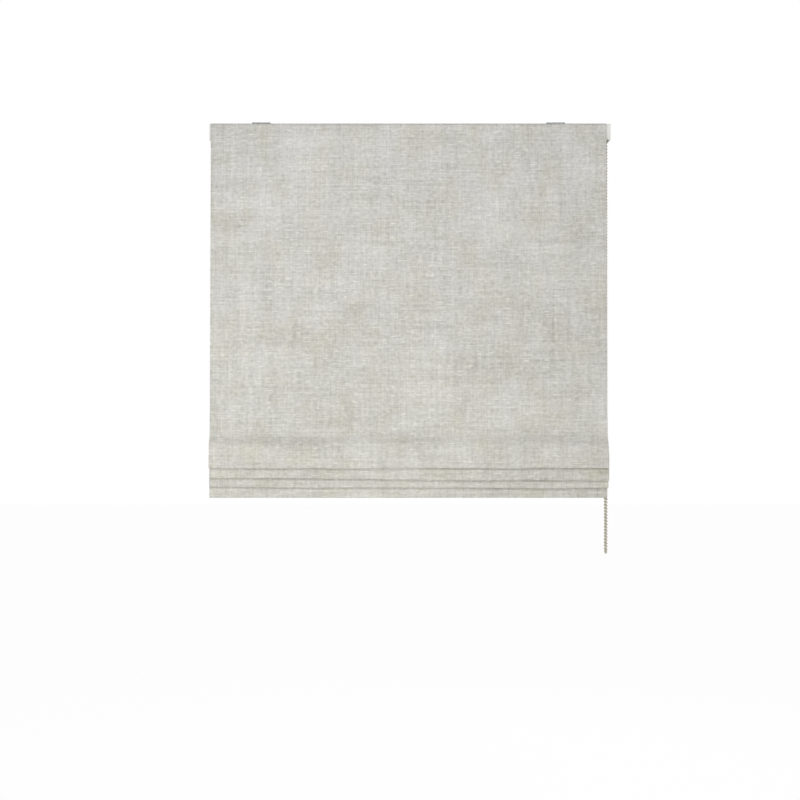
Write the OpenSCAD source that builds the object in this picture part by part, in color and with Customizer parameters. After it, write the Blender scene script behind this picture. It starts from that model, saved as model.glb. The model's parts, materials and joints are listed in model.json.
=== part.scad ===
// Roman blind, drawn part way up, with its headrail, chain drive and swivel brackets.
// Millimetres. X runs along the window, Y into the window, Z up.
// Z 0 is the window head that the brackets are screwed to.

/* [Blind] */
// Width of the face cloth
blind_w = 750; // [690:2:900]
// Drop from the top edge of the cloth to the hem, as drawn up
shown_drop = 706; // [690:1:760]
// Forward lean of the flat cloth where it reaches the folds
panel_lean = 13; // [11:0.5:15]

/* [Cloth] */
// Thickness of the face cloth
face_t = 0.8; // [0.6:0.05:0.9]
// Thickness of the lining
lining_t = 0.45; // [0.3:0.05:0.5]
// Width of face cloth that shows beside the lining on the back
side_hem = 22; // [18:1:30]
// Height of the hem turned up at the back
hem_h = 55; // [45:1:60]
// Step from the front fold to the second fold
fold_step_1 = 21; // [18:0.5:24]
// Step from the second fold to the third fold
fold_step_2 = 16; // [13:0.5:19]
// Step from the third fold to the hem
fold_step_3 = 17; // [14:0.5:20]
// Inner bend radius of a hanging fold
fold_r = 1.6; // [1.5:0.05:1.7]

/* [Battens] */
// Diameter of a batten rod
batten_d = 4; // [3.4:0.1:4.4]
// Distance between the battens in the flat cloth
batten_pitch = 190; // [170:1:195]
// Diameter of a lift cord
cord_d = 1.6; // [1.2:0.1:1.8]

/* [Headrail] */
// Depth of the headrail from front to back
rail_d = 40; // [38:0.5:46]
// Height of the headrail
rail_h = 30; // [29.4:0.2:34]
// Wall of the headrail
rail_wall = 1.4; // [1.2:0.1:1.6]
// Radius of the cord where it lies on a drum
winding_r = 9.5; // [8.8:0.1:9.6]

/* [Fixing] */
// Distance between the two bracket screws
bracket_spacing = 560; // [420:2:600]
// Radius of a bracket screw hole
screw_r = 2.25; // [2:0.05:2.6]

/* [Bead chain] */
// Diameter of a bead
bead_d = 4.5; // [4:0.1:4.7]
// Distance from bead to bead
bead_pitch = 6; // [5.8:0.05:6.2]
// Number of beads down each side of the loop
side_beads = 131; // [100:1:135]

/* [Hidden] */
$fn = 64;
eps = 0.01;
clear = 0.3;

plate_t = 2;
rail_top = -4;
rail_y = -29;
rail_front = rail_y - rail_d / 2;
rail_bottom = rail_top - rail_h;
lip_t = 1.3;
rail_r = 1.6;
slot_floor = rail_top - 3.5;
chamber_top = slot_floor - rail_wall;
chamber_bottom = rail_bottom + rail_wall;
slot_half = 13.5;
mouth_half = 14;
axis_z = (chamber_top + chamber_bottom) / 2;
axis_y = rail_front + 17.6;
rail_x0 = -blind_w / 2 + 1;
rail_x1 = blind_w / 2 - 15;
tape_t = 1.2;
tape_h = 22;

// The cloth runs along one line, with the face cloth in front of it and the lining behind.
half_gap = 0.05;
face_in = half_gap;
face_out = half_gap + face_t;
lining_out = half_gap + lining_t;
top_y = rail_front - 2 * tape_t - clear - lining_out;
hem_z = rail_top - shown_drop;
third_z = hem_z + fold_step_3;
second_z = third_z + fold_step_2;
fold_z = [second_z + fold_step_1, second_z, third_z];
turn_r = 1.15;
leg = 2 * fold_r;
run = 2 * turn_r;
front_y = top_y - panel_lean - 19.3;
run_y = [for (i = [0 : 6]) front_y + ceil(i / 2) * leg + floor(i / 2) * run];
leg_angle = 52;
leg_dir = [cos(leg_angle), sin(leg_angle)];
leg_side = [sin(leg_angle), -cos(leg_angle)];
stack_z = [for (i = [0 : 2]) fold_z[0] + 61 - 8 * i];
turn_y = run_y[6] + 1.6;

// Battens, counted from the top: three in the flat cloth, three at the folds.
pocket_r = batten_d / 2 + 0.35;
pocket_t = 0.5;
pocket_out = pocket_r + pocket_t;
pocket_off = 0.15;
batten_r = batten_d / 2;
flat_z = [for (i = [0 : 2]) fold_z[0] + 113 + batten_pitch * (2 - i)];
lean_top = rail_bottom;
lean_end = flat_z[2];
lean_of = panel_lean / (lean_top - lean_end);
flat_y = [for (z = flat_z) top_y - lean_of * (lean_top - z) + lining_out + pocket_off + pocket_out];
stack_y = turn_y + turn_r + lining_out + pocket_off + pocket_out;
batten_at = [for (i = [0 : 2]) [flat_y[i], flat_z[i]], for (i = [0 : 2]) [stack_y, stack_z[i]]];
ring_r = 3.5;
ring_t = 1;
ring_y = pocket_out + 0.2 + ring_r + ring_t;
lining_half = blind_w / 2 - side_hem;
pocket_half = lining_half - 3;
batten_half = pocket_half - 3;
cord_x = blind_w / 3;
cord_at = [-cord_x, 0, cord_x];

// Drive.
shaft_w = 6;
drum_half = 15;
flange_r = winding_r + 1.5;
journal_r = 5.4;
chain_r = 10 * bead_pitch / (2 * PI);
clutch_x0 = rail_x1;
wheel_x = clutch_x0 + 16.5;
wheel_half = 3.5;
well_x0 = wheel_x - wheel_half - 0.6;
well_x1 = wheel_x + wheel_half + 0.6;
well_r = chain_r + bead_d / 2 + 0.8;
cover_x1 = well_x1 + 2.8;
chain_l = (side_beads + 0.5) * bead_pitch;
string_r = 0.7;
join_bead = 60;
bracket_x = bracket_spacing / 2;

// A rounded line is a list of [y, z, normal y, normal z], made from corners of [y, z, bend radius].
function unit(v) = v / norm(v);
function spin(v, a) = [v[0] * cos(a) - v[1] * sin(a), v[0] * sin(a) + v[1] * cos(a)];
function turn(a, b) = atan2(a[0] * b[1] - a[1] * b[0], a[0] * b[0] + a[1] * b[1]);
function yz(p) = [p[0], p[1]];
function place(p, d) = [p[0], p[1], -d[1], d[0]];
function bend_steps(t, r) = max(2, ceil(abs(t) / (r < 5 ? 15 : 5)));
function bend(p, a, b, r) =
  let (
    t = turn(a, b),
    s = p - a * r * tan(abs(t) / 2),
    c = s + sign(t) * r * spin(a, 90),
    n = bend_steps(t, r))
  [for (k = [0 : n]) place(c + spin(s - c, t * k / n), spin(a, t * k / n))];
function parted(l) = [for (i = [0 : len(l) - 1])
  if (i == 0 || norm(yz(l[i] - l[max(i, 1) - 1])) > 0.001) l[i]];
function rounded(c) = parted([
  place(yz(c[0]), unit(yz(c[1] - c[0]))),
  for (i = [1 : len(c) - 2])
    each bend(yz(c[i]), unit(yz(c[i] - c[i - 1])), unit(yz(c[i + 1] - c[i])), c[i][2]),
  place(yz(c[len(c) - 1]), unit(yz(c[len(c) - 1] - c[len(c) - 2])))]);
function shifted(p, d) = [p[0] + d * p[2], p[1] + d * p[3]];

// The bends of the cloth from its top edge to the hem.
function on_leg(p, y) = [y, p[1] - tan(leg_angle) * (p[0] - y), 5];
function turn_over(i) =
  let (c = [turn_y, stack_z[i]], up = c - turn_r * leg_side, down = c + turn_r * leg_side)
  [on_leg(up, run_y[2 * i + 1]),
    concat(up + turn_r * leg_dir, turn_r),
    concat(down + turn_r * leg_dir, turn_r),
    on_leg(down, run_y[2 * i + 2])];
function hanging(i) = [
  [run_y[2 * i], fold_z[i] + face_out, fold_r],
  [run_y[2 * i + 1], fold_z[i] + face_out, fold_r]];
panel_line = [
  [top_y, rail_top, 0],
  [top_y, lean_top, 150],
  [top_y - panel_lean, lean_end, 90],
  [front_y + 14, fold_z[0] + 62, 34],
  [front_y, fold_z[0] + 43, 16]];
fold_line = [for (i = [0 : 2]) each concat(hanging(i), turn_over(i))];
hem_pocket = 3.5;
hem_low = hem_z + face_out;
hem_top = hem_low + hem_h;
hem_turn = hem_pocket / 2;
face_line = rounded(concat(panel_line, fold_line, [
  [run_y[6], hem_low, hem_turn],
  [run_y[6] + hem_pocket, hem_low, hem_turn],
  [run_y[6] + hem_pocket, hem_low + 28, 6],
  [run_y[6] + 0.8, hem_top, 0]]));
lining_line = rounded(concat(panel_line, fold_line, [[run_y[6], hem_top - 6, 0]]));

module along_x(x0, x1) {
  translate([x0, 0, 0]) rotate([90, 0, 90]) linear_extrude(height = x1 - x0) children();
}

module box_yz(y0, y1, z0, z1) {
  translate([y0, z0]) square([y1 - y0, z1 - z0]);
}

module round_box_yz(y0, y1, z0, z1, r) {
  box_yz(y0 + r, y1 - r, z0, z1);
  box_yz(y0, y1, z0 + r, z1 - r);
  for (y = [y0 + r, y1 - r], z = [z0 + r, z1 - r]) translate([y, z]) circle(r);
}

// A ribbon that follows a rounded line, from one side distance to another.
module ribbon(line, d0, d1) {
  n = len(line) - 1;
  polygon(concat([for (p = line) shifted(p, d0)], [for (i = [n : -1 : 0]) shifted(line[i], d1)]));
}

// Something turned about the drive axis, with its axis along X.
module on_axis(x = 0) {
  translate([x, axis_y, axis_z]) rotate([90, 0, 90]) children();
}

module rod_x(y, z, r, x0, x1) {
  translate([x0, y, z]) rotate([0, 90, 0]) cylinder(r = r, h = x1 - x0);
}

module headrail() {
  color("white") along_x(rail_x0, rail_x1) difference() {
    round_box_yz(rail_front, rail_front + rail_d, rail_bottom, rail_top, rail_r);
    box_yz(rail_y - slot_half, rail_y + slot_half, slot_floor, rail_top + 1);
    box_yz(rail_front + rail_wall, rail_front + rail_d - rail_wall, slot_floor, rail_top - lip_t);
    box_yz(rail_front + rail_wall, rail_front + rail_d - rail_wall, chamber_bottom, chamber_top);
    box_yz(rail_y - mouth_half, rail_y + mouth_half, rail_bottom - 1, chamber_bottom + 1);
  }
}

module chamber_plug(x0, x1) {
  g = rail_wall + 0.2;
  along_x(x0, x1)
    box_yz(rail_front + g, rail_front + rail_d - g, chamber_bottom + 0.2, chamber_top - 0.2);
}

module end_plate(x0, x1) {
  along_x(x0, x1) round_box_yz(rail_front, rail_front + rail_d, rail_bottom, rail_top, rail_r + 0.4);
}

module end_cap() {
  color("gainsboro") difference() {
    union() {
      end_plate(rail_x0 - 4, rail_x0);
      chamber_plug(rail_x0 - eps, rail_x0 + 14);
    }
    on_axis(rail_x0 - 1.5) cylinder(r = journal_r + clear, h = 30);
    along_x(rail_x0 + 3, rail_x0 + 30)
      box_yz(rail_front + 5, rail_front + rail_d - 5, chamber_bottom - 1, axis_z - 8);
  }
}

module clutch_housing() {
  color("gainsboro") difference() {
    union() {
      end_plate(clutch_x0, well_x1);
      chamber_plug(clutch_x0 - 18, clutch_x0 + eps);
    }
    on_axis(well_x0) cylinder(r = well_r, h = 30);
    along_x(well_x0, well_x1 + 1) box_yz(axis_y - well_r, axis_y + well_r, rail_bottom - 1, axis_z);
    on_axis(clutch_x0 - 15) cylinder(r = 8.8, h = 40);
    on_axis(clutch_x0 - 40) cylinder(r = 6.3, h = 60);
  }
}

module clutch_cover() {
  color("gainsboro") difference() {
    end_plate(well_x1, cover_x1);
    on_axis(well_x1 - 1) cylinder(r = 3.5 + clear, h = 3);
  }
}

// Close wound turns of flat-topped wire about the hub of the chain wheel.
module brake_spring() {
  wire = 0.6;
  n = 15;
  color("silver") on_axis(clutch_x0 - 12)
    rotate_extrude() {
      for (k = [0 : n]) translate([7.2, k * 1.1]) circle(r = wire, $fn = 24);
      translate([6.85, 0]) square([0.7, n * 1.1]);
    }
}

module hook_tape() {
  color("whitesmoke") along_x(rail_x0 + 4, rail_x1 - 2)
    box_yz(rail_front - tape_t, rail_front, rail_top - 4 - tape_h, rail_top - 4);
}

module loop_tape() {
  color("whitesmoke") along_x(rail_x0 + 4, rail_x1 - 2)
    box_yz(rail_front - 2 * tape_t, rail_front - tape_t, rail_top - 4 - tape_h, rail_top - 4);
}

module drum_cradle(x) {
  foot = 4.5;
  g = rail_wall + 0.2;
  color("lightgray") union() {
    for (s = [-1, 1]) {
      difference() {
        along_x(x + s * 19.5 - 1.5, x + s * 19.5 + 1.5)
          box_yz(rail_front + g, rail_front + rail_d - g, chamber_bottom, axis_z + 8);
        on_axis(x + s * 19.5 - 3) cylinder(r = journal_r + clear, h = 6);
      }
      along_x(x - 19, x + 19)
        translate([rail_y + s * (rail_d / 2 - g - foot / 2), chamber_bottom + 2])
          square([foot, 4], center = true);
    }
  }
}

module cord_drum(x) {
  core = winding_r - cord_d / 2 - half_gap;
  w = drum_half;
  e = drum_half + 7;
  color("white") difference() {
    on_axis(x) rotate_extrude() polygon([
      [0, -e], [journal_r, -e], [journal_r, -w - 2.6], [flange_r, -w - 1.6], [flange_r, -w], [core, -w],
      [core, w], [flange_r, w], [flange_r, w + 1.6], [journal_r, w + 2.6], [journal_r, e], [0, e]]);
    on_axis(x) translate([0, 0, -30]) linear_extrude(height = 60) square(shaft_w + 0.2, center = true);
  }
}

module drive_shaft() {
  color("silver") on_axis(rail_x0 + 1)
    linear_extrude(height = wheel_x - rail_x0 - 5) square(shaft_w, center = true);
}

module shaft_bush() {
  color("dimgray") difference() {
    on_axis(rail_x0 - 1) union() {
      cylinder(r = journal_r, h = 17);
      translate([0, 0, 15.4]) cylinder(r = journal_r + 2.2, h = 2.6);
    }
    on_axis(rail_x0 + 0.5) linear_extrude(height = 40) square(shaft_w + 0.2, center = true);
  }
}

// Ten pockets on the pitch circle take the beads, and a groove takes the string.
module chain_wheel() {
  color("dimgray") difference() {
    on_axis() union() {
      translate([0, 0, wheel_x - wheel_half]) cylinder(r = chain_r - 0.8, h = 2 * wheel_half);
      translate([0, 0, clutch_x0 - 19]) cylinder(r = 6, h = wheel_x - clutch_x0 + 19);
      translate([0, 0, wheel_x]) cylinder(r = 3.5, h = well_x1 - wheel_x + 1.7);
    }
    on_axis(wheel_x) for (k = [0 : 9])
      rotate([0, 0, 36 * k]) translate([chain_r, 0, 0]) sphere(r = bead_d / 2 + 0.2);
    on_axis(wheel_x) rotate_extrude() translate([chain_r - 1, -1]) square([4, 2]);
    on_axis(clutch_x0 - 30) linear_extrude(height = wheel_x - clutch_x0 + 27)
      square(shaft_w + 0.2, center = true);
  }
}

// One side of the loop: the beads strung on their line, turned about it.
module strand(s, skip) {
  translate([wheel_x, axis_y + s * chain_r, axis_z]) rotate([180, 0, 0])
    rotate_extrude() union() {
      square([string_r, chain_l]);
      for (k = [1 : side_beads])
        if (skip == 0 || (k != skip && k != skip + 1))
          translate([0, k * bead_pitch]) intersection() {
            circle(bead_d / 2);
            translate([0, -bead_d]) square(2 * bead_d);
          }
    }
}

module chain_turn(z, up) {
  translate([wheel_x, axis_y, z]) rotate([90, 0, 90]) {
    rotate([0, 0, up ? 0 : 180]) rotate_extrude(angle = 180)
      translate([chain_r, 0]) circle(string_r, $fn = 24);
    for (k = [0 : up ? 5 : 4])
      rotate([0, 0, up ? 36 * k : 198 + 36 * k]) translate([chain_r, 0, 0]) sphere(bead_d / 2);
  }
}

module bead_chain() {
  color("tan") union() {
    strand(-1, 0);
    strand(1, join_bead);
    chain_turn(axis_z, true);
    chain_turn(axis_z - chain_l, false);
  }
}

module chain_connector() {
  l = 2 * bead_pitch + 1;
  r = bead_d / 2 + 0.5;
  color("tan") translate([wheel_x, axis_y + chain_r, axis_z - (join_bead + 0.5) * bead_pitch - l / 2])
    rotate_extrude() polygon([
      [string_r + 0.15, 1], [r - 1.2, 0], [r - 0.3, 0.4], [r, 1.2], [r, l / 2 - 1], [r - 0.5, l / 2],
      [r, l / 2 + 1], [r, l - 1.2], [r - 0.3, l - 0.4], [r - 1.2, l], [string_r + 0.15, l - 1]]);
}

module bracket_plate(x) {
  w = 36;
  r = 6;
  color("silver") difference() {
    translate([x, 0, -plate_t]) linear_extrude(height = plate_t) union() {
      translate([-w / 2 + r, rail_y - 16]) square([w - 2 * r, 16 - rail_y + 9]);
      translate([-w / 2, rail_y - 16 + r]) square([w, 16 - rail_y + 9 - 2 * r]);
      for (sx = [-1, 1]) {
        translate([sx * (w / 2 - r), rail_y - 16 + r]) circle(r);
        translate([sx * (w / 2 - r), 9 - r]) circle(r);
      }
    }
    translate([x, 0, -plate_t - 1]) cylinder(r = screw_r, h = plate_t + 2);
    translate([x, rail_y, -plate_t - 1]) cylinder(r = 2.05, h = plate_t + 2);
  }
}

module lever_rivets() {
  color("silver") for (s = [-1, 1])
    translate([s * bracket_x, rail_y, 0]) rotate_extrude()
      polygon([[0, -7], [3.4, -7], [3.9, -6.5], [3.9, -6.2], [2, -6.2], [2, 0], [0, 0]]);
}

// A cam whose wings reach under the lips of the headrail, on a handle that turns it a quarter turn.
module bracket_lever(x, s) {
  wing_z = rail_top - lip_t - clear;
  top_z = -plate_t - clear;
  wing_t = wing_z - slot_floor - 0.4;
  color("whitesmoke") translate([x, rail_y, 0]) difference() {
    union() {
      translate([0, 0, wing_z - wing_t]) linear_extrude(height = wing_t) intersection() {
        circle(rail_d / 2 - rail_wall - 1.6);
        square([20, 60], center = true);
      }
      translate([0, 0, wing_z - wing_t]) cylinder(r = 8, h = top_z - wing_z + wing_t);
      translate([0, 0, top_z - 1.3]) linear_extrude(height = 1.3) rotate([0, 0, 90 + s * 55]) union() {
        translate([0, -4]) square([34, 8]);
        translate([34, 0]) circle(4);
        circle(10);
      }
    }
    translate([0, 0, -20]) cylinder(r = 2.3, h = 30);
    translate([0, 0, -20]) cylinder(r = 4.2, h = 20 - 5.9);
  }
}

module face_cloth() {
  color("lightgray") along_x(-blind_w / 2, blind_w / 2) ribbon(face_line, -face_in, -face_out);
}

module lining() {
  color("ivory") along_x(-lining_half, lining_half) ribbon(lining_line, half_gap, lining_out);
}

module batten(i) {
  color("white") rod_x(batten_at[i][0], batten_at[i][1], batten_r, -batten_half, batten_half);
}

// A tube of tape with a flat back, sewn to the lining.
module pocket_tape(i) {
  color("ivory") along_x(-pocket_half, pocket_half) translate(batten_at[i]) difference() {
    union() {
      circle(pocket_out);
      translate([-pocket_out, -pocket_out - 0.3]) square([pocket_t, 2 * pocket_out + 0.6]);
    }
    circle(pocket_r);
  }
}

module cord_rings(i) {
  color("white") for (x = cord_at)
    translate([x, batten_at[i][0] + ring_y, batten_at[i][1]])
      rotate_extrude() translate([ring_r, 0]) circle(ring_t, $fn = 32);
}

// A cord lies in turns on its drum, leaves it at a tangent and hangs straight through the rings.
cord_end = [stack_y + ring_y - 1, stack_z[2] - 7];
cord_way = cord_end - [axis_y, axis_z];
leave_at = atan2(cord_way[1], cord_way[0]) - acos(winding_r / norm(cord_way));
cord_start = [axis_y, axis_z] + winding_r * [cos(leave_at), sin(leave_at)];

module lift_cord(x) {
  r = cord_d / 2;
  d = cord_end - cord_start;
  color("white") {
    on_axis(x - cord_d - 0.1) rotate_extrude()
      for (k = [0 : 7]) translate([winding_r, -k * 0.95 * cord_d]) circle(r, $fn = 24);
    union() {
      translate([x, cord_start[0], cord_start[1]]) rotate([turn([0, 1], d), 0, 0])
        cylinder(r = r, h = norm(d), $fn = 24);
      translate([x, cord_end[0], cord_end[1]]) sphere(r + 0.7, $fn = 24);
    }
  }
}

module cord_locks() {
  z = stack_z[2] - ring_t - 0.3;
  bore = cord_d / 2 + 0.15;
  color("whitesmoke") for (x = cord_at)
    translate([x, cord_end[0], z]) rotate_extrude()
      polygon([
        [bore, 0], [2.6, 0], [3.7, -0.8], [4, -2], [4, -6.5], [3.7, -7.7], [2.9, -8.4], [2.5, -8.4],
        [2.5, -3], [bore, -3]]);
}

bar_half = blind_w / 2 - 8;
bar_low = hem_low + hem_turn;
bar_y = run_y[6] + hem_turn;
bar_t = 3;
bar_h = 22;

module bottom_bar() {
  color("silver") along_x(-bar_half, bar_half)
    round_box_yz(bar_y - bar_t / 2, bar_y + bar_t / 2, bar_low, bar_low + bar_h, bar_t / 3);
}

module bar_end_plugs() {
  color("white") for (s = [-1, 1])
    along_x(s > 0 ? bar_half : -bar_half - 4, s > 0 ? bar_half + 4 : -bar_half)
      round_box_yz(bar_y - bar_t / 2, bar_y + bar_t / 2, bar_low, bar_low + bar_h, bar_t / 3);
}

headrail();
end_cap();
clutch_housing();
clutch_cover();
brake_spring();
hook_tape();
loop_tape();
drum_cradle(cord_at[0]);  // drum_cradle_left
drum_cradle(cord_at[1]);  // drum_cradle_middle
drum_cradle(cord_at[2]);  // drum_cradle_right
bracket_plate(-bracket_x);  // bracket_plate_left
bracket_plate(bracket_x);  // bracket_plate_right
lever_rivets();
bracket_lever(-bracket_x, -1);  // bracket_lever_left
bracket_lever(bracket_x, 1);  // bracket_lever_right
drive_shaft();
shaft_bush();
chain_wheel();
cord_drum(cord_at[0]);  // cord_drum_left
cord_drum(cord_at[1]);  // cord_drum_middle
cord_drum(cord_at[2]);  // cord_drum_right
bead_chain();
chain_connector();
face_cloth();
lining();
batten(0);  // batten_1
batten(1);  // batten_2
batten(2);  // batten_3
batten(3);  // batten_4
batten(4);  // batten_5
batten(5);  // batten_6
pocket_tape(0);  // pocket_tape_1
pocket_tape(1);  // pocket_tape_2
pocket_tape(2);  // pocket_tape_3
pocket_tape(3);  // pocket_tape_4
pocket_tape(4);  // pocket_tape_5
pocket_tape(5);  // pocket_tape_6
cord_rings(0);  // cord_rings_1
cord_rings(1);  // cord_rings_2
cord_rings(2);  // cord_rings_3
cord_rings(3);  // cord_rings_4
cord_rings(4);  // cord_rings_5
cord_rings(5);  // cord_rings_6
lift_cord(cord_at[0]);  // lift_cord_left
lift_cord(cord_at[1]);  // lift_cord_middle
lift_cord(cord_at[2]);  // lift_cord_right
cord_locks();
bottom_bar();
bar_end_plugs();
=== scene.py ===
# %% [markdown]
# # A roman blind of slubbed linen
# The blind hangs from a headrail, flat at the top and gathered into three folds at the bottom.
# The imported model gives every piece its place, in metres: X along the window, Y into it, Z up.
# The soft pieces are worked out here as surfaces, and the rigid ones get their finish.

# %% Load the frame
import json
import bpy
import numpy as np
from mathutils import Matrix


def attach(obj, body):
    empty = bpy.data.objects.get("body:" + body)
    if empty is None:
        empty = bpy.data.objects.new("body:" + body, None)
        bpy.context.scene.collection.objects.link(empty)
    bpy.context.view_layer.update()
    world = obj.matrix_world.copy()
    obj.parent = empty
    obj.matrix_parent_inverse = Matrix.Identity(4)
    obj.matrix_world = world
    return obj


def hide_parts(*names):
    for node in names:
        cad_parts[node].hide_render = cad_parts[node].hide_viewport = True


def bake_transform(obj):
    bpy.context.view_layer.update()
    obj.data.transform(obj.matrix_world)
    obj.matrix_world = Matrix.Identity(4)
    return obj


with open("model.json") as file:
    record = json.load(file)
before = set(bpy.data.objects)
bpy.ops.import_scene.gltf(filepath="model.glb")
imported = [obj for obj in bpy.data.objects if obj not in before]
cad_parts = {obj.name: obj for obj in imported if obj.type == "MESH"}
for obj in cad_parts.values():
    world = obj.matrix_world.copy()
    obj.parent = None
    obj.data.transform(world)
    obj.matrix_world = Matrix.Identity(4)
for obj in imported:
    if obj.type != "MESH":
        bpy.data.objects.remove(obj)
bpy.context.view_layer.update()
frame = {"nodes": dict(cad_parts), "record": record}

nodes = frame["nodes"]
MM = 0.001

# %% [markdown]
# ## The camera
# The blind was pictured straight on, from a little under three metres, with the lens at the height
# of the lower half of the cloth. A level camera keeps the sides of the cloth upright.

# %% Camera
LENS, SENSOR = 66.46, 36
CAMERA_AT = (-0.0163, -2.852, -0.528)
camera_data = bpy.data.cameras.new("camera")
camera_data.lens = LENS
camera_data.sensor_width = SENSOR
camera = bpy.data.objects.new("camera", camera_data)
camera.location = CAMERA_AT
camera.rotation_euler = (np.radians(90), 0, 0)
bpy.context.scene.collection.objects.link(camera)
bpy.context.scene.camera = camera
print("camera at", CAMERA_AT, "m, lens", LENS, "mm")

# %% [markdown]
# ## Making meshes from arrays
# Each new piece is a grid of points, row by row, that is joined into quads. A piece that closes on
# itself is turned so that its faces point outwards, which its signed volume tells. Blender's own
# tools could build such pieces step by step, but an array keeps the whole shape in one formula.

# %% Grids and meshes
def grid_faces(rows, columns, wrap=False):
    """Quads of a grid stored row by row. With wrap, the last column joins the first."""
    r = np.arange(rows - 1)[:, None]
    c = np.arange(columns if wrap else columns - 1)[None, :]
    a, b = r * columns + c, r * columns + (c + 1) % columns
    return np.stack([a, b, b + columns, a + columns], -1).reshape(-1, 4)


def closed_faces(rows, columns):
    """Quads of a grid that wraps round, with each end closed by quads laid across it."""
    k = np.arange(columns // 2 - 1)
    end = np.stack([k, k + 1, columns - 2 - k, columns - 1 - k], -1)
    sides = grid_faces(rows, columns, wrap=True)
    return np.concatenate([sides, end[:, ::-1], end + (rows - 1) * columns])


def signed_volume(points, faces):
    """A sixth of the sum of a . (b x c + c x d) over the quads, positive when faces point out."""
    a, b, c, d = (points[faces[:, k]] for k in range(4))
    return np.einsum("ij,ij->i", a, np.cross(b, c) + np.cross(c, d)).sum() / 6


def add_piece(name, points, faces, material, uv=None):
    """Makes one smooth mesh object at the origin. uv gives a point its place on the cloth, in metres."""
    points = np.asarray(points, float).reshape(-1, 3)
    if signed_volume(points, faces) < 0:
        faces = faces[:, ::-1]
    mesh = bpy.data.meshes.new(name)
    mesh.from_pydata(points.tolist(), [], faces.tolist())
    mesh.shade_smooth()
    if uv is not None:
        corner = np.empty(len(mesh.loops), int)
        mesh.loops.foreach_get("vertex_index", corner)
        layer = mesh.uv_layers.new(name="cloth")
        layer.data.foreach_set("uv", np.asarray(uv, np.float32).reshape(-1, 2)[corner].ravel())
    mesh.materials.append(material)
    piece = bpy.data.objects.new(name, mesh)
    bpy.context.scene.collection.objects.link(piece)
    print(f"{name}: {len(points)} points, {2 * len(faces)} triangles")
    return piece


# %% [markdown]
# ## Finishes
# Colours are written as they look on a screen and turned to linear light by one function. One more
# function adds a shader node with its settings and its links, so a finish reads from top to bottom.
# Patterns are sized in millimetres.

# %% Colours and shader nodes
def linear(code):
    """A hex colour as linear red, green, blue and alpha."""
    c = np.array([int(code[i:i + 2], 16) for i in (1, 3, 5)]) / 255
    c = np.where(c <= 0.04045, c / 12.92, ((c + 0.055) / 1.055) ** 2.4)
    return (*c.tolist(), 1.0)


def add(tree, kind, inputs=(), **settings):
    """Adds a node. inputs holds a value to set, or a socket to link, by the input's name or number."""
    node = tree.nodes.new("ShaderNode" + kind)
    for key, value in settings.items():
        setattr(node, key, value)
    for key, value in dict(inputs).items():
        if isinstance(value, bpy.types.NodeSocket):
            tree.links.new(value, node.inputs[key])
        else:
            node.inputs[key].default_value = value
    return node


def new_finish(name, **surface):
    """A new material and its surface shader, with the shader's own constant values set."""
    material = bpy.data.materials.new(name)
    material.use_nodes = True
    shader = material.node_tree.nodes["Principled BSDF"]
    for key, value in surface.items():
        shader.inputs[key.replace("_", " ")].default_value = value
    return material, material.node_tree, shader


# %% [markdown]
# A few steps come back in most finishes: a sum or a product, a value moved to another range, a colour
# ramp, coordinates in millimetres, and a relief.

# %% Steps that finishes share
def maths(tree, operation, *values):
    """The result of one operation on values or sockets."""
    return add(tree, "Math", dict(enumerate(values)), operation=operation).outputs[0]


def rescaled(tree, value, start, end, low, high):
    """The value moved from the range start to end into the range low to high, and held inside it."""
    return add(tree, "MapRange", {"Value": value, "From Min": start, "From Max": end,
                                  "To Min": low, "To Max": high}).outputs[0]


def ramp(tree, value, stops):
    """A colour ramp through hex colours at places from 0 to 1."""
    node = add(tree, "ValToRGB", {0: value})
    elements = node.color_ramp.elements
    while len(elements) < len(stops):
        elements.new(0.5)
    for element, (place, code) in zip(elements, stops):
        element.position = place
        element.color = linear(code)
    return node.outputs["Color"]


def in_mm(tree, source):
    """Coordinates in metres turned into millimetres."""
    return add(tree, "VectorMath", {0: source, 1: (1000, 1000, 1000)}, operation="MULTIPLY").outputs[0]


def add_relief(tree, shader, height, strength, depth):
    """Raises the surface where height is near 1. depth is the full relief in metres."""
    bump = add(tree, "Bump", {"Height": height, "Strength": strength, "Distance": depth})
    tree.links.new(bump.outputs[0], shader.inputs["Normal"])


# %% [markdown]
# ### Slubbed linen
# Linen yarn is uneven: here and there a thicker, paler stretch of weft shows as a short bright slub,
# the warp gives fainter upright streaks, and whole bands of cloth differ in tone. Each of these is a
# noise stretched along its own thread. The pattern is laid out on the flat cloth, across and along,
# so it runs round the folds. Real threads are finer than would show, so single yarns are drawn about
# a millimetre wide, and the weave in the relief at about twice its real spacing. A picture of cloth
# could do this too, but noises have no seams and stay sharp close up.

# %% Threads and weave
WAVE_AT_ONE = 0.314


def thread_noise(tree, place, across, along, offset, detail=2.0):
    """Noise with grains about `across` mm wide and `along` mm long, begun at a place of its own."""
    spread = add(tree, "Mapping", {"Vector": place, "Location": (offset, 1.7 * offset, 0),
                                   "Scale": (1 / across, 1 / along, 1)})
    noise = add(tree, "TexNoise", {"Vector": spread.outputs[0], "Scale": 1.0, "Detail": detail,
                                   "Roughness": 0.55}, noise_dimensions="2D")
    return noise.outputs["Fac"]


def weighted_sum(tree, parts, start):
    """start plus the sum of weight times (value - 0.5)."""
    total = start
    for value, weight in parts:
        total = maths(tree, "MULTIPLY_ADD", value, weight, total)
        total = maths(tree, "SUBTRACT", total, 0.5 * weight)
    return total


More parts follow.
